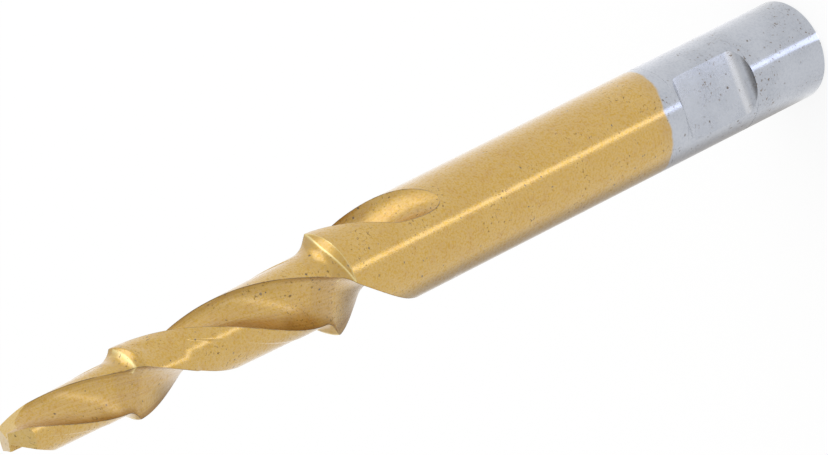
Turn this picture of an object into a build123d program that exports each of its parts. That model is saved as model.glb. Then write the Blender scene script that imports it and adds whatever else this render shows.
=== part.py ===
"""A two-flute step drill, ground from one bar: pilot, middle step, body and shank.

The drill stands on the end of its shank. Z runs up the axis to the point, and the clamping
flat on the shank faces -Y. Lengths are millimetres and angles are degrees.
"""

from build123d import *
import os
from math import cos, hypot, radians, sin, sqrt, tan

# ---- blank -------------------------------------------------------------------------------
overall_length = 103.6
pilot_diameter = 5.2
middle_diameter = 7.0
body_diameter = 10.0
pilot_length = 14.4  # from the point to the outer edge of the first shoulder
middle_length = 25.25  # from the first shoulder's outer edge to the second's
shoulder_angle = 118.0  # included angle of both shoulder cones
first_foot_radius = 1.5  # concave fillet where the first shoulder meets the pilot
second_foot_radius = 1.4
shank_chamfer = 0.25

# ---- flutes ------------------------------------------------------------------------------
flute_count = 2
flute_pitch = 48.0  # axial length of one turn, right hand
lead_phase = 116.3  # angle from +X of a leading edge at the height of the point
web_half = 0.86
web_direction = 60.0  # from the leading edge to the thinnest place of the web
rake_radius = 6.1
rake_turn = 46.0
floor_radius = 3.65
floor_turn = 32.0
heel_radius = 2.4
heel_turn = 72.0
flute_taper = 0.027  # outward shift of the flute for each millimetre from the point
taper_direction = 0.0
runout_start = 46.4  # from the point
runout_slope = 0.58
runout_blend = 0.9
section_spacing = 3.0
runout_spacing = 1.0

# ---- lands -------------------------------------------------------------------------------
pilot_margin = 20.0  # angle of full diameter behind each leading edge
middle_margin = 23.0
pilot_clearance = 0.10
middle_clearance = 0.12
clearance_start = 20.4  # from the point, where the middle step's lands are relieved
clearance_wall = 3.0  # angle over which a clearance reaches its depth
clearance_reach = 125.0  # angle behind the leading edge where the clearance tool ends

# ---- shoulder relief ---------------------------------------------------------------------
first_fall = 0.62  # how far the first shoulder's outer edge has fallen at its heel
second_fall = 0.22
fall_angle = 76.0  # angle of land behind the lip over which an edge falls that far
fall_lead = 12.0  # how far ahead of the lip the relieving tool comes in
hinge_share = 0.55  # how far in from the outer edge the tool's edge turns, of the step
hinge_lift = 0.16  # how far that turning point stands off the shoulder
relief_spacing = 11.0

# ---- point -------------------------------------------------------------------------------
point_angle = 135.0
point_relief = 8.0
lip_direction = -25.0  # from the leading edge, at the height of the point
gash_offset = 0.2  # from the axis to the corner of the notch that thins the web
gash_corner = 96.0  # angle from the lip to that corner
gash_wall = 171.0  # angle from the lip to the way the notch's upright wall faces
gash_floor = 74.0  # angle from the lip to the way its sloping floor faces
gash_slope = 25.6  # of the floor, from the axis

# ---- flat on the shank -------------------------------------------------------------------
flat_depth = 1.15
flat_length = 9.9
flat_from_end = 9.7
flat_corner_radius = 1.6

# ---- worked out --------------------------------------------------------------------------
pilot_radius = pilot_diameter / 2
middle_radius = middle_diameter / 2
body_radius = body_diameter / 2
first_edge = overall_length - pilot_length
second_edge = first_edge - middle_length
cone_rise = 1 / tan(radians(shoulder_angle / 2))
first_foot = first_edge + (middle_radius - pilot_radius) * cone_rise
second_foot = second_edge + (body_radius - middle_radius) * cone_rise
cone_room = 0.95 / sin(radians(shoulder_angle / 2)) / tan(radians(shoulder_angle / 4))
first_fillet = min(first_foot_radius, cone_room * (middle_radius - pilot_radius))
second_fillet = min(second_foot_radius, cone_room * (body_radius - middle_radius))
runout_depth = body_radius - web_half + 0.2
runout_length = sqrt((runout_depth / runout_slope + runout_blend) ** 2 - runout_blend**2)
tool_reach = 1.0  # how far every cutting tool stands proud of what it cuts


def polar(radius, angle):
    """A point of a cross-section from its radius and its angle."""
    return Vector(radius * cos(radians(angle)), radius * sin(radians(angle)))


def lead_angle(z):
    """Angle of the first leading edge at height z."""
    return lead_phase + 360 / flute_pitch * (z - overall_length)


def heights(bottom, top, spacing):
    """Evenly spaced heights from bottom to top, no further apart than spacing."""
    count = max(3, int((top - bottom) / spacing) + 1)
    return [bottom + (top - bottom) * i / count for i in range(count + 1)]


def blank():
    """The turned bar: chamfered shank, body, two filleted cone shoulders and the pilot."""
    outline = Polyline(
        (0, 0),
        (body_radius - shank_chamfer, 0),
        (body_radius, shank_chamfer),
        (body_radius, second_edge),
        (middle_radius, second_foot),
        (middle_radius, first_edge),
        (pilot_radius, first_foot),
        (pilot_radius, overall_length),
        (0, overall_length),
        close=True,
    )
    half = make_face(outline)
    for radius, height, size in (
        (middle_radius, second_foot, second_fillet),
        (pilot_radius, first_foot, first_fillet),
    ):
        corner = half.vertices().sort_by_distance((radius, height, 0))[0]
        half = fillet(corner, size)
    return revolve(Plane.XZ * half, Axis.Z, 360)


def flute_shift(z):
    """Where the grinding wheel has moved at height z: web taper, then the run-out ramp."""
    along = overall_length - z
    past = max(0.0, along - runout_start)
    ramp = runout_slope * (hypot(past, runout_blend) - runout_blend)
    return polar(flute_taper * along, taper_direction) + polar(ramp, web_direction)


def flute_section(z, phase):
    """The wheel's cut at height z: rake, floor and heel arcs, tangent in a row, closed outside."""
    web_point = polar(web_half, web_direction)
    heading = web_direction + 90
    rake_centre = web_point + polar(rake_radius, heading - 90)
    rake_middle = rake_centre + polar(rake_radius, heading + 90 + rake_turn / 2)
    rake_end = rake_centre + polar(rake_radius, heading + 90 + rake_turn)
    rake_out = rake_end - polar(body_radius, heading + rake_turn)
    floor_centre = web_point + polar(floor_radius, heading - 90)
    floor_middle = floor_centre + polar(floor_radius, heading + 90 - floor_turn / 2)
    floor_end = floor_centre + polar(floor_radius, heading + 90 - floor_turn)
    heading -= floor_turn
    heel_centre = floor_end + polar(heel_radius, heading - 90)
    heel_middle = heel_centre + polar(heel_radius, heading + 90 - heel_turn / 2)
    heel_end = heel_centre + polar(heel_radius, heading + 90 - heel_turn)
    heel_out = heel_end + polar(body_radius, heading - heel_turn)
    section = Wire(
        [
            Edge.make_line(rake_out, rake_end),
            Edge.make_three_point_arc(rake_end, rake_middle, web_point),
            Edge.make_three_point_arc(web_point, floor_middle, floor_end),
            Edge.make_three_point_arc(floor_end, heel_middle, heel_end),
            Edge.make_line(heel_end, heel_out),
            Edge.make_line(heel_out, rake_out),
        ]
    )
    return Pos(0, 0, z) * Rot(0, 0, lead_angle(z) + phase) * Pos(flute_shift(z)) * section


def flute(phase):
    """The solid that one flute's wheel sweeps, through the point and out of the body."""
    ramp_top = overall_length - runout_start
    levels = heights(ramp_top - runout_length, ramp_top, runout_spacing)
    levels += heights(ramp_top, overall_length + tool_reach, section_spacing)[1:]
    return Solid.make_loft([flute_section(z, phase) for z in levels])


def clearance_section(z, phase, radius, depth, margin):
    """A ring sector behind the margin, whose inner arc is the relieved land."""
    lead = lead_angle(z) + phase
    outer = radius + tool_reach
    inner = radius - depth
    start = lead - margin
    foot = start - clearance_wall
    end = lead - clearance_reach
    corners = [polar(outer, start), polar(radius, start), polar(inner, foot), polar(inner, end)]
    far = polar(outer, end)
    section = Wire(
        [
            Edge.make_line(corners[0], corners[1]),
            Edge.make_line(corners[1], corners[2]),
            Edge.make_three_point_arc(corners[2], polar(inner, (foot + end) / 2), corners[3]),
            Edge.make_line(corners[3], far),
            Edge.make_three_point_arc(far, polar(outer, (start + end) / 2), corners[0]),
        ]
    )
    return Pos(0, 0, z) * section


def clearance(phase, bottom, top, radius, depth, margin):
    """The tool that relieves one land from bottom to top."""
    levels = heights(bottom, top, section_spacing)
    sections = [clearance_section(z, phase, radius, depth, margin) for z in levels]
    return Solid.make_loft(sections)


def relief_section(angle, edge, fall, outer, inner):
    """A triangle in the half-plane at an angle, over a shoulder edge that has fallen by fall."""
    hinge = outer - hinge_share * (outer - inner)
    hinge_height = edge + (outer - hinge) * cone_rise + hinge_lift
    slope = (hinge_height - edge + fall) / (outer - hinge)
    far = outer + tool_reach
    low = hinge_height - slope * (far - hinge)
    corners = [Vector(hinge, 0, hinge_height), Vector(far, 0, low), Vector(far, 0, hinge_height)]
    return Rot(0, 0, angle) * Wire.make_polygon(corners, close=True)


def shoulder_relief(phase, edge, fall, outer, inner):
    """The tool that lets one shoulder's edge fall away behind its lip, so that the lip cuts."""
    lip = lead_angle(edge) + phase
    count = int((fall_lead + clearance_reach) / relief_spacing)
    span = (fall_lead + clearance_reach) / count
    sections = []
    for index in range(count + 1):
        behind = index * span - fall_lead
        depth = fall * behind / fall_angle
        sections.append(relief_section(lip - behind, edge, depth, outer, inner))
    return Solid.make_loft(sections)


def half_space(origin, facing):
    """A block on the facing side of a plane, large enough to cut all of the pilot."""
    size = 4 * pilot_length
    seat = Plane(origin=origin, z_dir=facing)
    return seat * Pos(0, 0, size / 2) * Box(size, size, size)


def flank(phase):
    """The block over one flat flank of the point, which drops away from the lip."""
    drop = 1 / tan(radians(point_angle / 2))
    relief = tan(radians(point_relief))
    lip = lead_phase + phase + lip_direction
    facing = polar(drop, lip) - polar(relief, lip + 90) + Vector(0, 0, 1)
    return half_space((0, 0, overall_length), facing)


def gash(phase):
    """The notch ground in front of one lip, which thins the web and trims the other heel."""
    lip = lead_phase + phase + lip_direction
    corner = polar(gash_offset, lip + gash_corner) + Vector(0, 0, overall_length)
    floor_facing = polar(cos(radians(gash_slope)), lip + gash_floor)
    floor_facing += Vector(0, 0, sin(radians(gash_slope)))
    wall_facing = polar(1, lip + gash_wall)
    return half_space(corner, floor_facing) & half_space(corner, wall_facing)


def shank_flat():
    """The clamping flat's cutter: a milled slot with concave ends."""
    reach = flat_depth + tool_reach + flat_corner_radius
    lift = sqrt(flat_corner_radius**2 - (flat_corner_radius - flat_depth) ** 2)
    spread = flat_corner_radius - lift
    slot = Rectangle(reach, flat_length + 2 * spread)
    slot = fillet(slot.vertices().group_by(Axis.X)[-1], flat_corner_radius)
    middle = flat_from_end + flat_length / 2
    seat = Plane(origin=(0, 0, middle), x_dir=(0, 1, 0), z_dir=(1, 0, 0))
    depth_place = Pos(flat_depth - body_radius - reach / 2, 0, 0)
    return extrude(seat * depth_place * slot, body_diameter, both=True)


def step_drill():
    """The blank with relieved lands, two flutes, the ground point and the clamping flat."""
    drill = blank()
    for turn in range(flute_count):
        phase = turn * 360 / flute_count
        drill -= clearance(
            phase,
            first_foot + first_fillet,
            overall_length + tool_reach,
            pilot_radius,
            pilot_clearance,
            pilot_margin,
        )
        drill -= clearance(
            phase,
            second_foot + second_fillet,
            overall_length - clearance_start,
            middle_radius,
            middle_clearance,
            middle_margin,
        )
        drill -= shoulder_relief(phase, first_edge, first_fall, middle_radius, pilot_radius)
        drill -= shoulder_relief(phase, second_edge, second_fall, body_radius, middle_radius)
    for turn in range(flute_count):
        phase = turn * 360 / flute_count
        drill -= flute(phase)
        drill -= flank(phase)
        drill -= gash(phase)
    return drill - shank_flat()


os.makedirs("parts", exist_ok=True)
export_step(step_drill(), "parts/step_drill.step")
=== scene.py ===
"""A two-flute step drill, gold coated over its cutting length and bare steel at its shank.

The drill stands on the end of its shank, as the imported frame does. Shapes are worked out in
millimetres in a plane across the axis, with complex numbers for points, so that a turn about
the axis is a product. They go into the mesh in metres.
"""

import bmesh
import bpy
import numpy as np
from mathutils import Matrix, Vector


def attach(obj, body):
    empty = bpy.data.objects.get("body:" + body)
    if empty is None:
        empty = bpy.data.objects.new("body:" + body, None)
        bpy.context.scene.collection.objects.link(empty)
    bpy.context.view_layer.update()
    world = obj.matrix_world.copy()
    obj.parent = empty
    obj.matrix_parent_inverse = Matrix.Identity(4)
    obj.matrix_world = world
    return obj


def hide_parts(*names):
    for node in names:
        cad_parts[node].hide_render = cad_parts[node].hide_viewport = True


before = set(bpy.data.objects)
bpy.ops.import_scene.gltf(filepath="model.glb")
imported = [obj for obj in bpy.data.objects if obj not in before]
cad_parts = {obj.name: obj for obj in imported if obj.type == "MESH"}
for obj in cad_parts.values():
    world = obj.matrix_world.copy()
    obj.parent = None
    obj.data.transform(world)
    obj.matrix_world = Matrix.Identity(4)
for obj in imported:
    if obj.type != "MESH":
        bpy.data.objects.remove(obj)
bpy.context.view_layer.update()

MM = 0.001

# ---- sizes, in millimetres and degrees ---------------------------------------------------
LENGTH = 103.6
PILOT_RADIUS = 2.6
MIDDLE_RADIUS = 3.5
BODY_RADIUS = 5.0
FIRST_EDGE = LENGTH - 14.4
SECOND_EDGE = FIRST_EDGE - 25.25
SHOULDER_ANGLE = 118.0
SHOULDER_RISE = 1 / np.tan(np.radians(SHOULDER_ANGLE / 2))
FIRST_FOOT = FIRST_EDGE + (MIDDLE_RADIUS - PILOT_RADIUS) * SHOULDER_RISE
SECOND_FOOT = SECOND_EDGE + (BODY_RADIUS - MIDDLE_RADIUS) * SHOULDER_RISE
FIRST_FOOT_RADIUS = 1.5
SECOND_FOOT_RADIUS = 1.4
EDGE_WEAR = 0.1
FALL_START = 3.0
FALL_ANGLE = 76.0
FIRST_FALL = 0.62
HINGE_SHARE = 0.55
HINGE_LIFT = 0.16
SHANK_CHAMFER = 0.25

LEAD_PHASE = 116.3
PITCH = 48.0
TURN = 360 / PITCH
WEB_HALF = 0.86
WEB_DIRECTION = 60.0
RAKE_RADIUS, RAKE_TURN = 6.1, 46.0
FLOOR_RADIUS, FLOOR_TURN = 3.65, 32.0
HEEL_RADIUS, HEEL_TURN = 2.4, 72.0
TAPER = 0.027
RUNOUT_START = 46.4
RUNOUT_SLOPE = 0.58
RUNOUT_BLEND = 0.9

MIDDLE_MARGIN, PILOT_MARGIN = 23.0, 20.0
MARGIN_WALL = 3.0
MIDDLE_RELIEF, PILOT_RELIEF = 0.12, 0.10
RELIEF_END = LENGTH - 20.5
ECCENTRIC = 0.0022
WALL_SHARE = 0.55
CORNER_SIZE = 0.05

BAND_WIDTH = 96.0
BAND_RAISE = 0.5
BAND_SLOPE = 1.6
SCOOP_START = LENGTH - 20.4
SCOOP_DEPTH = 0.24

POINT_ANGLE = 135.0
POINT_RELIEF = 8.0
LIP_DIRECTION = -25.0
GASH_OFFSET = 0.2
GASH_CORNER = 96.0
GASH_WALL = 171.0
GASH_FLOOR = 74.0
GASH_SLOPE = 25.6

FLAT_DEPTH = 1.15
FLAT_HALF = 4.95
FLAT_START = 9.7
FLAT_MIDDLE = FLAT_START + FLAT_HALF
FLAT_CORNER = 1.6
FLAT_END_REACH = FLAT_CORNER + np.sqrt(FLAT_CORNER**2 - (FLAT_CORNER - FLAT_DEPTH) ** 2)
FLAT_SIDE = -90.0

LAND_COLUMNS = 45
FLUTE_COLUMNS = 72
FLAT_COLUMNS = 20


def polar(radius, angle):
    """Points across the axis from a radius and an angle in degrees, as x + iy."""
    return radius * np.exp(1j * np.radians(angle))


def lead_angle(z):
    """Angle of the first leading edge at height z."""
    return LEAD_PHASE + TURN * (z - LENGTH)


def smooth_step(low, high, value):
    """0 below low, 1 above high, and the cubic between that is level at both ends."""
    t = np.clip((value - low) / (high - low), 0, 1)
    return t * t * (3 - 2 * t)


# ---- the bar's outline -------------------------------------------------------------------
def rounded(corners, spacing):
    """Rows (height, radius) along a polyline whose corners are circles of the given radii.

    Each corner is (height, radius, rounding, rows in the rounding). The circle is tangent to
    both runs, at the rounding times the tangent of half the turn from the corner.
    """
    points = np.array([c[0] + 1j * c[1] for c in corners])
    rows = [points[:1]]
    for k in range(1, len(points)):
        run = points[k] - points[k - 1]
        ahead = run / abs(run)
        if k < len(points) - 1:
            turn = np.angle((points[k + 1] - points[k]) / run)
            size = corners[k][2]
            back = size * np.tan(abs(turn) / 2)
            start = points[k] - back * ahead
            share = np.linspace(0, 1, corners[k][3] + 1)
            side = 1j * np.sign(turn) * size
            arc = start + side * ahead * (1 - np.exp(1j * turn * share))
        else:
            start = points[k]
            arc = np.array([start])
        before = rows[-1][-1]
        count = max(1, int(abs(start - before) / spacing[k - 1]))
        rows.append(before + (start - before) * np.linspace(0, 1, count + 1)[1:-1])
        rows.append(arc)
    path = np.concatenate(rows)
    return path.real, path.imag


# ---- flutes ------------------------------------------------------------------------------
ARC_LENGTH = np.linspace(-9, 9, 7201)


def wheel_path():
    """The wheel's cut across the axis, by length from the thinnest place of the web.

    Its heading turns at one over the radius of the arc that it is on: the rake arc before
    the web, the floor arc and then the heel arc after it, with straight runs at both ends.
    The path is the running sum of the headings.
    """
    s = ARC_LENGTH
    rake = np.clip(-s, 0, RAKE_RADIUS * np.radians(RAKE_TURN)) / RAKE_RADIUS
    floor_length = FLOOR_RADIUS * np.radians(FLOOR_TURN)
    floor = np.clip(s, 0, floor_length) / FLOOR_RADIUS
    heel = np.clip(s - floor_length, 0, HEEL_RADIUS * np.radians(HEEL_TURN)) / HEEL_RADIUS
    heading = np.exp(1j * (np.radians(WEB_DIRECTION + 90) + rake - floor - heel))
    steps = (heading[1:] + heading[:-1]) / 2 * np.diff(s)
    path = np.concatenate([[0], np.cumsum(steps)])
    path -= np.interp(0, s, path.real) + 1j * np.interp(0, s, path.imag)
    return path + polar(WEB_HALF, WEB_DIRECTION)


WHEEL = wheel_path()


def wheel_at(s):
    """Points of the wheel's cut at these lengths from the web."""
    return np.interp(s, ARC_LENGTH, WHEEL.real) + 1j * np.interp(s, ARC_LENGTH, WHEEL.imag)


def wheel_shift(z):
    """Where the wheel has moved at height z: outwards with the web's taper, then up the ramp."""
    along = LENGTH - z
    past = np.maximum(0.0, along - RUNOUT_START)
    ramp = RUNOUT_SLOPE * (np.hypot(past, RUNOUT_BLEND) - RUNOUT_BLEND)
    return TAPER * along + polar(1, WEB_DIRECTION) * ramp


def deepest(z):
    """Length along the wheel's cut of its point nearest the axis, at each height."""
    reach = abs(WHEEL[None, :] + wheel_shift(z)[:, None])
    return ARC_LENGTH[np.argmin(reach, axis=1)]


def meets(z, radius, side):
    """Length along the wheel's cut where it meets the circle of this radius, by halving.

    side is -1 for the rake, which ends in the leading edge, and 1 for the heel.
    """
    near = deepest(z)
    far = np.full_like(near, 9.0 * side)
    shift = wheel_shift(z)
    for _ in range(44):
        middle = (near + far) / 2
        inside = abs(wheel_at(middle) + shift) < radius
        near = np.where(inside, middle, near)
        far = np.where(inside, far, middle)
    return (near + far) / 2


def runout_end():
    """Height at which the wheel leaves the body, by halving."""
    low, high = SECOND_EDGE - 40, SECOND_EDGE
    for _ in range(50):
        middle = np.array([(low + high) / 2])
        cuts = abs(wheel_at(deepest(middle)) + wheel_shift(middle))[0] < BODY_RADIUS
        low, high = (low, middle[0]) if cuts else (middle[0], high)
    return high


# ---- lands -------------------------------------------------------------------------------
def margin_angle(z):
    """Angle of full diameter behind a leading edge."""
    return MIDDLE_MARGIN + (PILOT_MARGIN - MIDDLE_MARGIN) * smooth_step(FIRST_EDGE, FIRST_FOOT, z)


def relief_depth(z):
    """How far the land behind the margin is ground away, on the middle step and the pilot."""
    middle = MIDDLE_RELIEF * smooth_step(SECOND_FOOT + 1.0, SECOND_FOOT + 3.0, z)
    middle = middle * (1 - smooth_step(RELIEF_END - 0.4, RELIEF_END + 0.4, z))
    pilot = PILOT_RELIEF * smooth_step(FIRST_FOOT + 0.9, FIRST_FOOT + 2.2, z)
    return middle + pilot


def soft_lower(first, second, size):
    """The lower of two radii, with the corner between them rounded over about this size."""
    return (first + second - np.sqrt((first - second) ** 2 + size**2)) / 2 + size * 0.02


def first_shoulder_facet(z, behind):
    """Radius of the facet that lets the first shoulder's edge fall away behind its lip.

    At each angle it is a straight line from a hinge over the cone to the fallen edge.
    """
    hinge = MIDDLE_RADIUS - HINGE_SHARE * (MIDDLE_RADIUS - PILOT_RADIUS)
    hinge_height = FIRST_EDGE + (MIDDLE_RADIUS - hinge) * SHOULDER_RISE + HINGE_LIFT
    fall = FIRST_FALL * (behind - FALL_START) / FALL_ANGLE
    slope = (hinge_height - FIRST_EDGE + fall) / (MIDDLE_RADIUS - hinge)
    return hinge + (hinge_height - z) / slope


def second_shoulder_face(z, behind, profile):
    """Radii of the second shoulder's cone, forward of an outer band in mid land, and of the band.

    The cone is the outline moved up by a half sine across the land. The band runs in from
    the outer edge at a steeper slope, so the two meet in a straight ridge.
    """
    arch = np.sin(np.pi * np.clip(behind / BAND_WIDTH, 0, 1))
    near = smooth_step(SECOND_EDGE - 0.4, SECOND_EDGE, z)
    near = near * (1 - smooth_step(SECOND_FOOT + 0.6, SECOND_FOOT + 2.2, z))
    heights, radii = profile
    cone = np.interp(z - BAND_RAISE * arch * near, heights, radii)
    band = BODY_RADIUS - np.maximum(0, z - SECOND_EDGE) / BAND_SLOPE
    band = np.where((near > 0) & (z < SECOND_EDGE + 1.5), band, BODY_RADIUS + 1)
    return cone, band


def scoop_depth(z, behind):
    """The wheel's scoop in the middle land below the first shoulder.

    Behind the margin it drops at once and comes up again toward the heel; along the bar it
    starts in a short wall that faces the point and runs out at the shoulder.
    """
    start = SCOOP_START - 0.035 * np.maximum(0, behind - 40.0)
    wall = smooth_step(start - 0.9, start + 1.5, z)
    leave = 1 - smooth_step(FIRST_EDGE - 2.4, FIRST_EDGE - 0.8, z)
    across = smooth_step(19.0, 37.0, behind) * (1 - 0.85 * smooth_step(34.0, 84.0, behind))
    return SCOOP_DEPTH * wall * leave * across


def land_radius(z, radius, behind, profile):
    """Radius of a land by the angle behind its leading edge: margin, relief and shoulders."""
    wall = smooth_step(0, MARGIN_WALL, behind - margin_angle(z))
    eccentric = ECCENTRIC * np.clip(behind - margin_angle(z), 0, 60)
    shoulder = soft_lower(*second_shoulder_face(z, behind, profile), CORNER_SIZE)
    reach = np.where(z < SECOND_FOOT + 2.4, shoulder, radius)
    reach = reach - relief_depth(z) * (WALL_SHARE * wall + eccentric / MIDDLE_RELIEF)
    reach = reach - scoop_depth(z, behind)
    facet = first_shoulder_facet(z, behind)
    hinge_height = FIRST_EDGE + HINGE_SHARE * (MIDDLE_RADIUS - PILOT_RADIUS) * SHOULDER_RISE
    active = (z > FIRST_EDGE - 2.0) & (z < hinge_height + HINGE_LIFT)
    return np.where(active, soft_lower(reach, facet, CORNER_SIZE), reach)


def heel_radius(z, radius, profile):
    """Radius at the heel, found by going back and forth between it and the land's width."""
    shift = wheel_shift(z)
    lead = np.angle(wheel_at(meets(z, lead_radius(z, radius, profile), -1)) + shift)
    reach = radius
    for _ in range(12):
        heel = np.angle(wheel_at(meets(z, reach, 1)) + shift)
        reach = land_radius(z, radius, 180 + np.degrees(lead - heel), profile)
    return reach


def lead_radius(z, radius, profile):
    """Radius at the leading edge."""
    return land_radius(z, radius, np.zeros_like(z), profile)


def land_columns(z, width, share):
    """Angle behind the leading edge of each column.

    On the body the columns are even. On the relieved steps a fifth of them are on the
    margin and a tenth on its wall, so that both of its edges have a column.
    """
    even = width * share
    margin = margin_angle(z)
    stops = [0, 0.2, 0.3, 1]
    last = np.maximum(width, margin + MARGIN_WALL + 5.0)
    angles = np.stack([0 * width, margin, margin + MARGIN_WALL, last])
    placed = angles[0]
    for k in range(3):
        part = np.clip((share - stops[k]) / (stops[k + 1] - stops[k]), 0, 1)
        placed = placed + part * (angles[k + 1] - angles[k])
    stepped = smooth_step(SECOND_EDGE - 6, SECOND_EDGE - 0.5, z)
    return even + stepped * (placed - even)


# ---- grids -------------------------------------------------------------------------------
def to_points(across, z):
    """Stacks x, y and z of a grid of points, in metres."""
    z = np.broadcast_to(z, across.shape)
    return np.stack([across.real, across.imag, z], axis=-1) * MM


def grid_faces(rows, columns, first):
    """Four corners of each cell of a grid whose points are numbered row by row."""
    at = first + np.arange(rows * columns).reshape(rows, columns)
    cells = [at[:-1, :-1], at[1:, :-1], at[1:, 1:], at[:-1, 1:]]
    return np.stack(cells, axis=-1).reshape(-1, 4)


def flute_grid(z, lead_reach, heel_reach, phase):
    """The wheel's cut between the two lengths at which it meets the bar, at each height."""
    first = meets(z, lead_reach, -1)
    last = meets(z, heel_reach, 1)
    share = np.linspace(0, 1, FLUTE_COLUMNS + 1)
    share = share - 0.06 * np.sin(2 * np.pi * share)
    s = first[:, None] + (last - first)[:, None] * share
    across = wheel_at(s) + wheel_shift(z)[:, None]
    return across * polar(1, lead_angle(z) + phase)[:, None]


def land_grid(z, radius, lead_reach, heel_reach, phase):
    """The bar's own surface from a leading edge back to the heel of the other flute."""
    shift = wheel_shift(z)
    lead = np.degrees(np.angle(wheel_at(meets(z, lead_reach, -1)) + shift))
    heel = np.degrees(np.angle(wheel_at(meets(z, heel_reach, 1)) + shift))
    width = (180 + lead - heel)[:, None]
    share = np.linspace(0, 1, LAND_COLUMNS + 1)
    behind = land_columns(z[:, None], width, share)
    reach = land_radius(z[:, None], radius[:, None], behind, (z, radius))
    reach[:, 0] = lead_reach
    reach[:, -1] = heel_reach
    return polar(reach, (lead + lead_angle(z) + phase)[:, None] - behind)


def flat_cut(z):
    """Half the angle that the milled flat takes from the circle at height z.

    The slot's floor is level, and each of its ends is a quarter circle.
    """
    past = np.maximum(0, abs(z - FLAT_MIDDLE) - (FLAT_HALF + FLAT_CORNER - FLAT_END_REACH))
    depth = FLAT_DEPTH - FLAT_CORNER + np.sqrt(np.maximum(0, FLAT_CORNER**2 - past**2))
    depth = np.where(abs(z - FLAT_MIDDLE) < FLAT_HALF, np.maximum(depth, 0), 0)
    return np.degrees(np.arccos(1 - depth / BODY_RADIUS))


def shank_grid(z, radius, twist):
    """The plain bar, whose columns part at the flat and turn by twist on the way to the flutes."""
    half = flat_cut(z)[:, None]
    share = np.linspace(0, 1, 2 * LAND_COLUMNS + 1)
    angle = FLAT_SIDE - half - (360 - 2 * half) * share
    turned = twist * smooth_step(FLAT_MIDDLE + FLAT_HALF + 2, z[-1], z)[:, None]
    return polar(radius[:, None], angle + turned)


def flat_grid(z):
    """The milled flat: at each height a straight line between the ends of its cut."""
    half = flat_cut(z)[:, None]
    share = np.linspace(0, 1, FLAT_COLUMNS + 1)
    ends = polar(BODY_RADIUS, FLAT_SIDE - half), polar(BODY_RADIUS, FLAT_SIDE + half)
    return ends[0] + (ends[1] - ends[0]) * share


# ---- the mesh ----------------------------------------------------------------------------
def bar_rows():
    """Heights and radii of all rows, from the shank's end to above the point."""
    low = [
        (0, BODY_RADIUS - SHANK_CHAMFER, 0, 0),
        (SHANK_CHAMFER, BODY_RADIUS, 0.12, 3),
        (FLAT_MIDDLE - FLAT_HALF, BODY_RADIUS, 0, 0),
    ]
    z_low, r_low = rounded(low, [0.2, 0.6])
    steps = np.cos(np.linspace(np.pi, 0, 41))
    z_flat = FLAT_MIDDLE + FLAT_HALF * steps
    top = runout_end()
    z_plain = np.linspace(FLAT_MIDDLE + FLAT_HALF, top, 24)
    z_shank = np.concatenate([z_low[:-1], z_flat, z_plain[1:]])
    r_shank = np.concatenate([r_low[:-1], np.full(len(z_flat) + len(z_plain) - 1, BODY_RADIUS)])
    z_leaf = top + 9.0 * np.linspace(0, 1, 49) ** 2
    high = [
        (z_leaf[-1], BODY_RADIUS, 0, 0),
        (SECOND_EDGE, BODY_RADIUS, EDGE_WEAR, 4),
        (SECOND_FOOT, MIDDLE_RADIUS, SECOND_FOOT_RADIUS, 26),
        (SCOOP_START - 2.2, MIDDLE_RADIUS, 0, 0),
        (FIRST_EDGE - 0.9, MIDDLE_RADIUS, 0, 0),
        (FIRST_EDGE, MIDDLE_RADIUS, EDGE_WEAR, 4),
        (FIRST_FOOT, PILOT_RADIUS, FIRST_FOOT_RADIUS, 20),
        (LENGTH + 1, PILOT_RADIUS, 0, 0),
    ]
    z_high, r_high = rounded(high, [0.36, 0.03, 0.34, 0.14, 0.045, 0.04, 0.28])
    z_cut = np.concatenate([z_leaf[:-1], z_high])
    r_cut = np.concatenate([np.full(len(z_leaf) - 1, BODY_RADIUS), r_high])
    return z_shank, r_shank, z_flat, z_cut, r_cut


def add_grid(parts, across, z):
    """Puts a grid of points and its faces at the end of the lists."""
    first = sum(len(p) for p in parts["points"])
    parts["points"].append(to_points(across, z[:, None]).reshape(-1, 3))
    parts["faces"].append(grid_faces(*across.shape, first))


def join_rings(shank, land, flute):
    """Puts the first row of a land and of its flute on the plain bar's last ring.

    The flute's row is the leaf's tip, which is one point of that ring.
    """
    start = LAND_COLUMNS * int(abs(shank[-1, 0] - land[0, 0]) > BODY_RADIUS)
    land[0] = shank[-1, start : start + LAND_COLUMNS + 1]
    flute[0] = land[0, 0]


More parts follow.
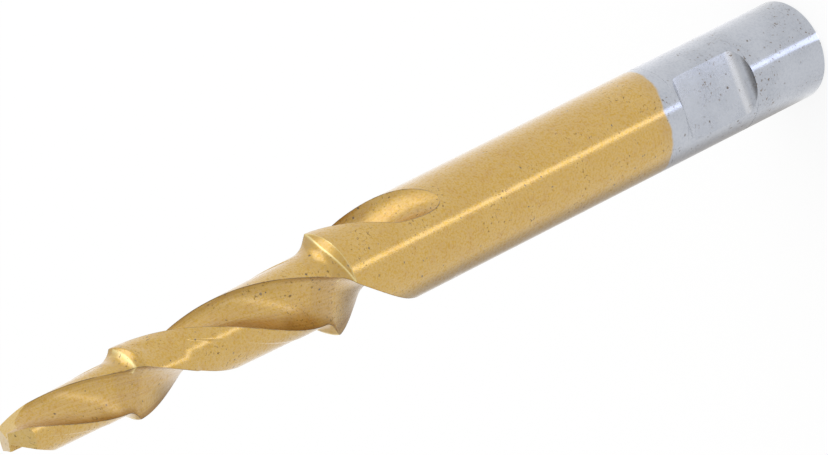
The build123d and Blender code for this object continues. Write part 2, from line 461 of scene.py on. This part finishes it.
def build_bar():
    """The whole bar as one closed mesh, before its point is ground."""
    z_shank, r_shank, z_flat, z_cut, r_cut = bar_rows()
    parts = {"points": [], "faces": []}
    marks = []
    lead_end = np.degrees(np.angle(wheel_at(deepest(z_cut[:1])) + wheel_shift(z_cut[:1])))[0]
    twist = (lead_end + lead_angle(z_cut[0]) - FLAT_SIDE + 90) % 180 - 90
    shank = shank_grid(z_shank, r_shank, twist)
    add_grid(parts, shank, z_shank)
    marks.append(("bar", len(parts["faces"][-1])))
    add_grid(parts, flat_grid(z_flat), z_flat)
    marks.append(("flat", len(parts["faces"][-1])))
    lead_reach = lead_radius(z_cut, r_cut, (z_cut, r_cut))
    heel_reach = heel_radius(z_cut, r_cut, (z_cut, r_cut))
    for phase in (0, 180):
        land = land_grid(z_cut, r_cut, lead_reach, heel_reach, phase)
        flute = flute_grid(z_cut, lead_reach, heel_reach, phase)
        join_rings(shank, land, flute)
        add_grid(parts, land, z_cut)
        marks.append(("bar", len(parts["faces"][-1])))
        add_grid(parts, flute, z_cut)
        marks.append(("flute", len(parts["faces"][-1])))
    mesh = bpy.data.meshes.new("step_drill_bar")
    faces = np.concatenate(parts["faces"])
    mesh.from_pydata(np.concatenate(parts["points"]), [], faces.tolist())
    kinds = np.concatenate([np.full(n, MATERIAL_ORDER.index(kind)) for kind, n in marks])
    for kind in MATERIAL_ORDER:
        mesh.materials.append(finishes[kind])
    mesh.polygons.foreach_set("material_index", kinds.astype(np.int32))
    close = bmesh.new()
    close.from_mesh(mesh)
    bmesh.ops.remove_doubles(close, verts=close.verts, dist=1e-7)
    bmesh.ops.dissolve_degenerate(close, edges=close.edges, dist=1e-8)
    open_edges = [e for e in close.edges if e.is_boundary]
    bmesh.ops.holes_fill(close, edges=open_edges, sides=0)
    bmesh.ops.recalc_face_normals(close, faces=close.faces)
    close.to_mesh(mesh)
    close.free()
    bar = bpy.data.objects.new("drill_bar", mesh)
    bpy.context.scene.collection.objects.link(bar)
    return bar


# ---- the point ---------------------------------------------------------------------------
def direction(angle, rise):
    """A vector that points at this angle about the axis and this much along it."""
    level = polar(1, angle)
    return Vector((level.real, level.imag, rise))


def half_space(origin, facing, size=30.0):
    """A box on the facing side of a plane through origin."""
    box = bpy.data.meshes.new("cutter")
    edge = bmesh.new()
    bmesh.ops.create_cube(edge, size=size * MM)
    turn = facing.normalized().to_track_quat("Z", "Y").to_matrix().to_4x4()
    place = Matrix.Translation(origin * MM) @ turn @ Matrix.Translation((0, 0, size * MM / 2))
    bmesh.ops.transform(edge, matrix=place, verts=edge.verts)
    edge.to_mesh(box)
    edge.free()
    cutter = bpy.data.objects.new("cutter", box)
    bpy.context.scene.collection.objects.link(cutter)
    return cutter


def boolean(piece, other, operation):
    """Applies one boolean to a piece and throws the cutter away."""
    modifier = piece.modifiers.new("grind", "BOOLEAN")
    modifier.operation = operation
    modifier.solver = "EXACT"
    modifier.object = other
    bpy.context.view_layer.update()
    whole = piece.evaluated_get(bpy.context.evaluated_depsgraph_get())
    mesh = bpy.data.meshes.new_from_object(whole)
    piece.modifiers.clear()
    piece.data = mesh
    bpy.data.objects.remove(other)


def point_planes(phase):
    """Origin and facing of a flank, of the notch's floor and of the notch's wall."""
    tip = Vector((0, 0, LENGTH))
    lip = LEAD_PHASE + phase + LIP_DIRECTION
    drop = 1 / np.tan(np.radians(POINT_ANGLE / 2))
    relief = np.tan(np.radians(POINT_RELIEF))
    flank = direction(lip, 0) * drop - direction(lip + 90, 0) * relief + Vector((0, 0, 1))
    corner = direction(lip + GASH_CORNER, 0) * GASH_OFFSET + tip
    slope = np.radians(GASH_SLOPE)
    floor = direction(lip + GASH_FLOOR, 0) * np.cos(slope) + Vector((0, 0, np.sin(slope)))
    wall = direction(lip + GASH_WALL, 0)
    return [(tip, flank), (corner, floor), (corner, wall)]


def grind_point(bar):
    """Cuts both flanks of the point, and the notch in front of each lip that thins the web."""
    for phase in (0, 180):
        flank, floor, wall = point_planes(phase)
        boolean(bar, half_space(*flank), "DIFFERENCE")
        notch = half_space(*floor)
        boolean(notch, half_space(*wall), "INTERSECT")
        boolean(bar, notch, "DIFFERENCE")


# ---- shader tools ------------------------------------------------------------------------
class Value:
    """One socket of a material's nodes, on which + - and * add Math nodes."""

    def __init__(self, paint, socket):
        self.paint = paint
        self.socket = socket

    def math(self, operation, *others):
        return self.paint.node(
            "ShaderNodeMath", {"operation": operation}, dict(enumerate((self, *others)))
        )

    def __add__(self, other):
        return self.math("ADD", other)

    __radd__ = __add__

    def __sub__(self, other):
        return self.math("SUBTRACT", other)

    def __rsub__(self, other):
        return self.paint.node("ShaderNodeMath", {"operation": "SUBTRACT"}, {0: other, 1: self})

    def __mul__(self, other):
        return self.math("MULTIPLY", other)

    __rmul__ = __mul__

    def clamp(self):
        """Held between 0 and 1."""
        return self.math("MAXIMUM", 0.0).math("MINIMUM", 1.0)

    def ramp(self, low, high):
        """0 at low, 1 at high and a soft curve between, also when low is above high."""
        settings = {"interpolation_type": "SMOOTHSTEP"}
        values = {"Value": self, "From Min": low, "From Max": high}
        return self.paint.node("ShaderNodeMapRange", settings, values)


class Paint:
    """The nodes of one material."""

    def __init__(self, name):
        self.material = bpy.data.materials.new(name)
        self.material.use_nodes = True
        self.tree = self.material.node_tree
        self.tree.nodes.clear()

    def node(self, kind, settings=None, values=None, output=0):
        """Adds a node: its settings are set first, then its sockets' values or links."""
        made = self.tree.nodes.new(kind)
        for name, setting in (settings or {}).items():
            if name == "stops":
                ramp = made.color_ramp
                while len(ramp.elements) < len(setting):
                    ramp.elements.new(0.5)
                for element, (position, color) in zip(ramp.elements, setting):
                    element.position = position
                    element.color = (*color, 1.0)
            else:
                setattr(made, name, setting)
        for name, value in (values or {}).items():
            if isinstance(value, Value):
                self.tree.links.new(value.socket, made.inputs[name])
            else:
                made.inputs[name].default_value = value
        return Value(self, made.outputs[output]) if len(made.outputs) else None

    def mix(self, factor, first, second):
        """A colour between two colours."""
        settings = {"data_type": "RGBA"}
        pair = {0: factor}
        for name, color in ((6, first), (7, second)):
            pair[name] = color if isinstance(color, Value) else (*color, 1.0)
        return self.node("ShaderNodeMix", settings, pair, output=2)

    def layered(self, color, layers):
        """A colour with others laid over it in turn, each by its own share."""
        for share, over in layers:
            color = self.mix(share, color, over)
        return color

    def stored(self, name, output=2):
        """A number stored for each point of the mesh, or a vector where output is 1."""
        return self.node("ShaderNodeAttribute", {"attribute_name": name}, output=output)

    def place(self):
        """The place on the piece, in its own axes and in metres."""
        return self.node("ShaderNodeTexCoord", output="Object")

    def noise(self, vector, scale, detail=3.0, roughness=0.5):
        values = {"Vector": vector, "Scale": scale, "Detail": detail, "Roughness": roughness}
        return self.node("ShaderNodeTexNoise", None, values)

    def stretched(self, vector, scale):
        """The same place with each axis multiplied by its own number."""
        return self.node(
            "ShaderNodeVectorMath", {"operation": "MULTIPLY"}, {0: vector, 1: scale}
        )


# ---- finishes ----------------------------------------------------------------------------
SIDE = np.radians(10.0)
UP_SIDE = np.array([np.cos(SIDE), np.sin(SIDE), 0])
COAT_END = 0.02188
LEAF_TIP, LEAF_FOOT = 0.054, 0.060
SHOULDER_ROUGH = 0.17
GOLD = (0.530, 0.310, 0.026)
# Red-brown for random blotches and flecks, and for painted shade deep in the flutes.
GOLD_RED = (0.42, 0.185, 0.012)
GOLD_PALE = (0.60, 0.372, 0.062)
# A painted highlight, for the shoulders' ridges and the ground point.
PAINTED_HIGHLIGHT = (0.95, 0.80, 0.34)
PIT = (0.10, 0.06, 0.03)
# Dark specks of dirt, and painted shade along the land edges.
SOOT_AND_EDGE_SHADE = (0.15, 0.085, 0.03)
ROSE = (0.27, 0.125, 0.045)
BARE = (0.56, 0.52, 0.44)
COAT_FADE = (0.45, 0.30, 0.12)
STEEL = (0.45, 0.475, 0.53)
STEEL_DARK = (0.36, 0.385, 0.44)
SCRATCH = (0.12, 0.11, 0.10)
# Painted shade and painted highlight for the flat's rounded end.
PAINTED_FLAT_END_SHADE = (0.05, 0.045, 0.045)
PAINTED_FLAT_END_HIGHLIGHT = (0.72, 0.72, 0.73)


def spots(paint, vector, scale, share, size):
    """1 in sparse round spots: cells of a Voronoi pattern whose own random number is low."""
    values = {"Vector": vector, "Scale": scale, "Randomness": 1.0}
    gap = paint.node("ShaderNodeTexVoronoi", None, values)
    number = paint.node("ShaderNodeTexVoronoi", None, values, output=1)
    number = paint.node("ShaderNodeSeparateColor", None, {0: number})
    return gap.ramp(size, size * 0.45) * number.ramp(share + 0.002, share)


class Marks:
    """The marks that the finishes are mixed from, each a number that varies over the piece.

    Scales are in cells for each metre, and for each millimetre where the place is unwound.
    """

    def __init__(self, paint):
        place = paint.place()
        self.height = paint.node("ShaderNodeSeparateXYZ", None, {0: place}, output="Z")
        self.edge_gap = paint.stored("edge_gap")
        self.hollow = paint.stored("hollow")
        # Where the painted highlight on the shoulders goes.
        self.ridge = paint.stored("ridge")
        unwound = paint.stored("unwound", output=1)
        self.lines = paint.noise(paint.stretched(unwound, (22.0, 22.0, 0.35)), 1.0, 3.0)
        self.broad = paint.noise(paint.stretched(unwound, (5.5, 5.5, 0.12)), 1.0, 2.0)
        self.rings = paint.noise(paint.stretched(place, (60.0, 60.0, 14000.0)), 1.0, 3.0)
        self.cloud = paint.noise(place, 230.0, 4.0)
        self.blotch = paint.noise(place, 900.0, 3.0, 0.6)
        self.fine = paint.noise(place, 4200.0, 2.0, 0.6)
        self.grain = paint.noise(place, 7500.0, 3.0, 0.65)
        warp = {"Vector": place, "Scale": 4000.0}
        warp = paint.node("ShaderNodeTexNoise", None, warp, output=1)
        bent = {0: warp, 1: (0.0003, 0.0003, 0.0003), 2: place}
        bent = paint.node("ShaderNodeVectorMath", {"operation": "MULTIPLY_ADD"}, bent)
        small_pits = spots(paint, bent, 1500.0, 0.20, 0.22) * self.blotch.ramp(0.35, 0.6)
        self.pits = spots(paint, bent, 420.0, 0.040, 0.10).math("MAXIMUM", small_pits)
        specks = paint.noise(bent, 3300.0, 4.0, 0.6).ramp(0.605, 0.655)
        self.specks = specks * self.cloud.ramp(0.46, 0.60)
        drift = paint.noise(paint.stretched(place, (1.0, 1.0, 0.6)), 420.0, 3.0)
        aim = {0: place, 1: tuple(UP_SIDE / (BODY_RADIUS * MM))}
        side = paint.node("ShaderNodeVectorMath", {"operation": "DOT_PRODUCT"}, aim, output=1)
        self.end = self.height + side.math("MAXIMUM", 0.0) * 0.0016 + (drift - 0.5) * 0.0010
        self.gold = self.end.ramp(COAT_END - 0.0002, COAT_END + 0.0002)
        scratches = paint.noise(paint.stretched(bent, (900.0, 900.0, 9000.0)), 1.0, 2.0)
        scratches = scratches.ramp(0.66, 0.70) * self.cloud.ramp(0.50, 0.62)
        self.scratches = scratches * (1 - self.gold)


def gold_tone(paint, marks, rim, redden, fleck, painted_light):
    """The coat's colour: clouded gold with flecks and rose-brown near the flutes' rims, with
    painted shade that makes it redder deep in the flutes and darker along the land edges, and with
    a painted highlight on the shoulders' ridges and the ground point.
    """
    tint = (marks.cloud.ramp(0.30, 0.75) * 0.5 + (marks.grain - 0.5) * 1.6 + 0.1).clamp()
    flecks = marks.lines.ramp(0.56, 0.70) * marks.grain.ramp(0.44, 0.62) * fleck
    # Painted shade along the land edges, in patches.
    edge_shade = marks.edge_gap.ramp(0.10, 0.02) * marks.blotch.ramp(0.30, 0.52)
    layers = [
        (tint, GOLD_PALE),
        (marks.blotch.ramp(0.50, 0.30) * 0.22, GOLD_RED),
        # Painted shade: redder deep in the flutes, along the grinding lines.
        ((marks.hollow * redden * marks.lines.ramp(0.2, 0.6)).clamp(), GOLD_RED),
        (rim * 0.55, ROSE),
        (marks.broad.ramp(0.50, 0.62) * fleck, GOLD_PALE),
        (marks.broad.ramp(0.48, 0.36) * fleck * 0.5, GOLD_RED),
        (flecks, BARE),
        (edge_shade * 0.75, SOOT_AND_EDGE_SHADE),
        # Painted highlight along the shoulders' ridges, and a lighter colour on the point's ground
        # faces.
        ((marks.ridge * 0.85 + painted_light).clamp(), PAINTED_HIGHLIGHT),
        (marks.end.ramp(0.0240, 0.0220) * 0.35, COAT_FADE),
    ]
    return paint.layered(GOLD, layers)


def bare_tone(paint, marks, color, flat_end_light_and_shade):
    """The marks over coat and steel: painted shade and a painted highlight at the flat's rounded
    end, scratches, dark specks and pits.
    """
    end = FLAT_START * MM
    # Painted shade where the flat's rounded end is steepest, and beside it, nearer the flat's
    # floor, a band of painted highlight.
    corner = marks.height.ramp(end + 0.00042, end + 0.00012) * flat_end_light_and_shade
    shine = marks.height.ramp(end + 0.00050, end + 0.00105)
    shine = shine * marks.height.ramp(end + 0.00185, end + 0.00130) * flat_end_light_and_shade
    layers = [
        (corner, PAINTED_FLAT_END_SHADE),
        (shine * 0.65, PAINTED_FLAT_END_HIGHLIGHT),
        (marks.scratches * 0.5, SCRATCH),
        (marks.specks * 0.8, SOOT_AND_EDGE_SHADE),
        (marks.pits * 0.9, PIT),
    ]
    return paint.layered(color, layers)


def shoulder_share(height):
    """1 on both shoulders and their fillets, which are ground rougher than the lands."""
    share = 0.0
    for edge, foot in ((SECOND_EDGE, SECOND_FOOT + 2.4), (FIRST_EDGE - 0.8, FIRST_FOOT + 2.0)):
        begin = height.ramp(edge * MM - 0.00005, edge * MM + 0.00015)
        share = begin * height.ramp(foot * MM, foot * MM - 0.0008) + share
    return share


def coated(name, streaks, roughness, redden, fleck, grit=0.9, painted_light=0.0, flat_end_light_and_shade=0.0):
    """Ground steel under a gold coat, which ends short of the shank's end.

    streaks is the depth of the grinding lines along the helix, redden how far painted shade
    turns the colour red-brown deep in the flutes, fleck the share of pale flecks, and grit the
    depth of the grain. The last two set how far a painted highlight lightens the colour, and
    how strong the painted shade and painted highlight at the milled flat's rounded end are.
    """
    paint = Paint(name)
    marks = Marks(paint)
    height, gold, grain = marks.height, marks.gold, marks.grain
    in_flute = min(1.0, redden * 4)
    rim = marks.hollow.ramp(0.30, 0.02) * height.ramp(LEAF_TIP, LEAF_FOOT) * in_flute
    leaf = height.ramp(LEAF_FOOT, LEAF_TIP) * in_flute
    middle_on = height.ramp(SECOND_EDGE * MM, SECOND_FOOT * MM)
    steel_color = paint.mix(marks.cloud.ramp(0.35, 0.65) * 0.7, STEEL, STEEL_DARK)
    gold_color = gold_tone(paint, marks, rim, redden, fleck, painted_light)
    color = paint.mix(gold, steel_color, gold_color)
    shape = marks.lines * streaks + marks.rings * (0.25 * (1 - gold) + 0.02) + grain * grit
    shape = shape - marks.pits * 3.0 + marks.fine * (grit * 1.6) + marks.broad * (streaks * 2.5)
    rough = (grain - 0.5) * 0.10 + marks.blotch.ramp(0.45, 0.70) * 0.05 + marks.pits * 0.3
    rough = rough + roughness + leaf * 0.12 + shoulder_share(height) * SHOULDER_ROUGH
    coat = (marks.fine.ramp(0.30, 0.58) * 0.65 + 0.35) * (1 - marks.specks * 0.6)
    bump = {"Strength": 0.35, "Distance": 0.000012, "Height": shape}
    values = {
        "Base Color": bare_tone(paint, marks, color, flat_end_light_and_shade),
        "Metallic": 1 - rim * 0.3,
        "Roughness": rough + middle_on * 0.07,
        "Normal": paint.node("ShaderNodeBump", None, bump),
        "Coat Weight": coat * (1 - rim * 0.8),
        "Coat Roughness": roughness + 0.06,
        "Coat IOR": 2.0,
    }
    shader = paint.node("ShaderNodeBsdfPrincipled", None, values)
    paint.node("ShaderNodeOutputMaterial", None, {"Surface": shader})
    return paint.material


MATERIAL_ORDER = ["bar", "flute", "flat", "point"]
finishes = {
    "bar": coated("ground_bar", 0.35, 0.13, 0.0, 0.10),
    "flute": coated("ground_flute", 1.3, 0.24, 0.25, 0.45, grit=0.35),
    # The flat gets painted shade and a painted highlight at its rounded end, and the point's ground
    # faces a share of painted highlight.
    "flat": coated("milled_flat", 0.2, 0.24, 0.0, 0.0, flat_end_light_and_shade=0.75),
    "point": coated("ground_point", 0.4, 0.27, 0.0, 0.10, grit=0.4, painted_light=0.17),
}
drill = build_bar()
grind_point(drill)


def write_attribute(mesh, name, kind, values):
    """Stores one number or vector for every point of the mesh."""
    made = mesh.attributes.new(name, kind, "POINT")
    field = "vector" if kind == "FLOAT_VECTOR" else "value"
    made.data.foreach_set(field, np.ascontiguousarray(values, np.float32).ravel())


def mark_points(mesh):
    """Writes the place with the flutes' turn taken out, and how near an edge or the web it is.

    Both edges of a land are points of the wheel's cut, so the gap is the distance to them
    across the axis; a point and its half-turn image are tried against both.
    """
    points = np.empty(len(mesh.vertices) * 3)
    mesh.vertices.foreach_get("co", points)
    points = points.reshape(-1, 3) / MM
    z = points[:, 2]
    across = (points[:, 0] + 1j * points[:, 1]) * polar(1, -lead_angle(z))
    z_shank, r_shank, z_flat, z_cut, r_cut = bar_rows()
    shift = wheel_shift(z_cut)
    lead_reach = lead_radius(z_cut, r_cut, (z_cut, r_cut))
    heel_reach = heel_radius(z_cut, r_cut, (z_cut, r_cut))
    gap = np.full(len(z), 9.0)
    for reach, side in ((lead_reach, -1), (heel_reach, 1)):
        edge = wheel_at(meets(z_cut, reach, side)) + shift
        edge = np.interp(z, z_cut, edge.real) + 1j * np.interp(z, z_cut, edge.imag)
        gap = np.minimum(gap, np.minimum(abs(across - edge), abs(across + edge)))
    gap = np.where(z < z_cut[0], 9.0, gap)
    radius = np.interp(z, z_cut, r_cut)
    depth = np.clip((radius - abs(across)) / radius, 0, 1)
    edge = wheel_at(meets(z_cut, lead_reach, -1)) + shift
    lead = np.interp(z, z_cut, np.degrees(np.angle(edge)))
    behind = (lead - np.degrees(np.angle(across)) + 1) % 180 - 1
    cone, band = second_shoulder_face(z, behind, (z_cut, r_cut))
    # The ridge numbers mark where a painted highlight goes: the second shoulder's ridge and the
    # edge of the first shoulder's facet.
    ridge = np.exp(-(((cone - band) / 0.055) ** 2)) * (z > SECOND_EDGE + 0.04) * (behind < 95)
    first = np.exp(-(((radius - first_shoulder_facet(z, behind)) / 0.07) ** 2))
    first = first * (z > FIRST_EDGE + 0.03) * (z < FIRST_EDGE + 0.6) * (behind > 12) * (behind < 75)
    ridge = np.maximum(ridge, first * 0.8) * (depth < 0.5) * (gap > 0.04)
    unwound = np.stack([across.real, across.imag, z], axis=-1)
    write_attribute(mesh, "unwound", "FLOAT_VECTOR", unwound)
    write_attribute(mesh, "edge_gap", "FLOAT", gap)
    write_attribute(mesh, "ridge", "FLOAT", ridge)
    write_attribute(mesh, "hollow", "FLOAT", np.where(z < z_cut[0], 0, depth))


def mark_ground_faces(mesh):
    """Gives the faces cut at the point their own material: they face the point's planes."""
    centers = np.empty(len(mesh.polygons) * 3)
    mesh.polygons.foreach_get("center", centers)
    normals = np.empty(len(mesh.polygons) * 3)
    mesh.polygons.foreach_get("normal", normals)
    kinds = np.empty(len(mesh.polygons), np.int32)
    mesh.polygons.foreach_get("material_index", kinds)
    centers = centers.reshape(-1, 3) / MM
    normals = normals.reshape(-1, 3)
    for phase in (0, 180):
        for origin, facing in point_planes(phase):
            facing = np.array(facing.normalized())
            flat = abs(normals @ facing) > 0.9999
            near = abs((centers - np.array(origin)) @ facing) < 0.002
            kinds[flat & near] = MATERIAL_ORDER.index("point")
    mesh.polygons.foreach_set("material_index", kinds)


def finish_mesh(piece):
    """Finishes for each kind of face, smooth faces with crisp edges, and the attributes."""
    mesh = piece.data
    mark_points(mesh)
    mark_ground_faces(mesh)
    mesh.polygons.foreach_set("use_smooth", np.ones(len(mesh.polygons), bool))
    mesh.set_sharp_from_angle(angle=np.radians(28))


finish_mesh(drill)
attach(drill, "root")
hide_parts("step_drill")

# ---- camera ------------------------------------------------------------------------------
TILT = np.radians(38.95346)
ROLL = np.radians(26.7646)
near_side = np.array([np.sin(SIDE), -np.cos(SIDE), 0])
to_end = np.array([0, 0, -1])
toward = np.cos(TILT) * near_side - np.sin(TILT) * to_end
along = np.cos(TILT) * to_end + np.sin(TILT) * near_side
right = np.cos(ROLL) * along - np.sin(ROLL) * UP_SIDE
upward = np.sin(ROLL) * along + np.cos(ROLL) * UP_SIDE
seat = np.array([0, 0, 51.892]) + 0.0433 * right + 0.9978 * upward + 787.9143 * toward
camera_data = bpy.data.cameras.new("camera")
camera_data.sensor_width = 36.0
camera_data.lens = 370.33
camera_data.clip_start = 0.05
camera_data.clip_end = 50.0
camera = bpy.data.objects.new("camera", camera_data)
bpy.context.scene.collection.objects.link(camera)
pose = Matrix.Identity(4)
for column, axis in enumerate((right, upward, toward)):
    for row in range(3):
        pose[row][column] = axis[row]
for row in range(3):
    pose[row][3] = seat[row] * MM
camera.matrix_world = pose
bpy.context.scene.camera = camera


# ---- light and floor ---------------------------------------------------------------------
def lamp(name, place, target, long_side, size, power):
    """A rectangular lamp at place that faces target, whose second size lies along long_side."""
    data = bpy.data.lights.new(name, "AREA")
    data.shape = "RECTANGLE"
    data.size, data.size_y = size
    data.energy = power
    made = bpy.data.objects.new(name, data)
    bpy.context.scene.collection.objects.link(made)
    back = (Vector(place) - Vector(target)).normalized()
    across = Vector(long_side).cross(back).normalized()
    pose = Matrix.Identity(4)
    for column, axis in enumerate((across, back.cross(across), back, Vector(place))):
        for row in range(3):
            pose[row][column] = axis[row]
    made.matrix_world = pose
    made.visible_camera = False
    return made


place = 0.6 * (0.79 * UP_SIDE + 0.16 * near_side + 0.60 * np.array([0, 0, 1]))
lamp("top_softbox", place, (0, 0, 0.06), UP_SIDE, (0.5, 0.5), 0.9)

world = bpy.data.worlds.new("studio")
world.use_nodes = True
bpy.context.scene.world = world
background = world.node_tree.nodes["Background"]
background.inputs["Color"].default_value = (1, 1, 1, 1)
background.inputs["Strength"].default_value = 0.85


def floor_material():
    """White that the camera sees near full strength and that keeps the shadow, with painted shade
    and light in what reflections see.
    """
    paint = Paint("pale_floor")
    path = {
        name: paint.node("ShaderNodeLightPath", output=name)
        for name in ("Is Camera Ray", "Is Glossy Ray", "Is Transmission Ray")
    }
    seen = path["Is Camera Ray"].math("MAXIMUM", path["Is Glossy Ray"])
    seen = seen.math("MAXIMUM", path["Is Transmission Ray"])
    plain = paint.node("ShaderNodeBsdfDiffuse", None, {"Color": (0.8, 0.8, 0.8, 1)})
    level = {0: paint.place(), 1: (1.0, 1.0, 0.0)}
    level = paint.node("ShaderNodeVectorMath", {"operation": "MULTIPLY"}, level)
    unit = paint.node("ShaderNodeVectorMath", {"operation": "NORMALIZE"}, {0: level})

    def toward_side(degrees):
        """Cosine of the angle about the bar between the place and this far from UP_SIDE."""
        side = np.radians(10.0 - degrees)
        aim = {0: unit, 1: (np.cos(side), np.sin(side), 0.0)}
        return paint.node("ShaderNodeVectorMath", {"operation": "DOT_PRODUCT"}, aim, output=1)

    # Reflections alone see painted shade and light on the floor: a dim sector near the bar, a paler
    # sector, and a narrow band brighter than white that glows like a strip lamp where there is no
    # lamp.
    mirrored = 1.0 - path["Is Camera Ray"]
    far = paint.node("ShaderNodeVectorMath", {"operation": "LENGTH"}, {0: level}, output=1)
    dim = toward_side(242.0).ramp(0.45, 0.96) * far.ramp(0.105, 0.065) * mirrored
    pale = toward_side(-62.0).ramp(0.40, 0.99) * mirrored
    band = toward_side(92.0).ramp(0.9956, 0.9992) * mirrored
    tone = paint.mix(dim, (1.0, 1.0, 1.0), (0.42, 0.395, 0.375))
    tone = paint.mix(pale, tone, (1.12, 1.12, 1.14))
    tone = paint.mix(band, tone, (2.15, 2.25, 2.7))
    glow = paint.node("ShaderNodeEmission", None, {"Color": tone, "Strength": 1.08})
    surface = paint.node("ShaderNodeMixShader", None, {0: seen * 0.75, 1: plain, 2: glow})
    paint.node("ShaderNodeOutputMaterial", None, {"Surface": surface})
    return paint.material


def floor_disc():
    """A wide round floor under the shank's end: rings of points about the axis."""
    rings, spokes = 6, 96
    radius = np.linspace(0, 3000, rings)[:, None]
    angle = np.linspace(0, 360, spokes + 1)[None, :]
    across = polar(radius, angle)
    mesh = bpy.data.meshes.new("floor")
    points = to_points(across, np.zeros((rings, 1))).reshape(-1, 3)
    mesh.from_pydata(points, [], grid_faces(rings, spokes + 1, 0).tolist())
    mesh.flip_normals()
    close = bmesh.new()
    close.from_mesh(mesh)
    bmesh.ops.remove_doubles(close, verts=close.verts, dist=1e-6)
    bmesh.ops.recalc_face_normals(close, faces=close.faces)
    if close.faces[:][0].normal.z < 0:
        bmesh.ops.reverse_faces(close, faces=close.faces)
    close.to_mesh(mesh)
    close.free()
    made = bpy.data.objects.new("floor", mesh)
    bpy.context.scene.collection.objects.link(made)
    mesh.materials.append(floor_material())
    return made


floor = floor_disc()

bpy.context.scene.view_settings.view_transform = "Standard"
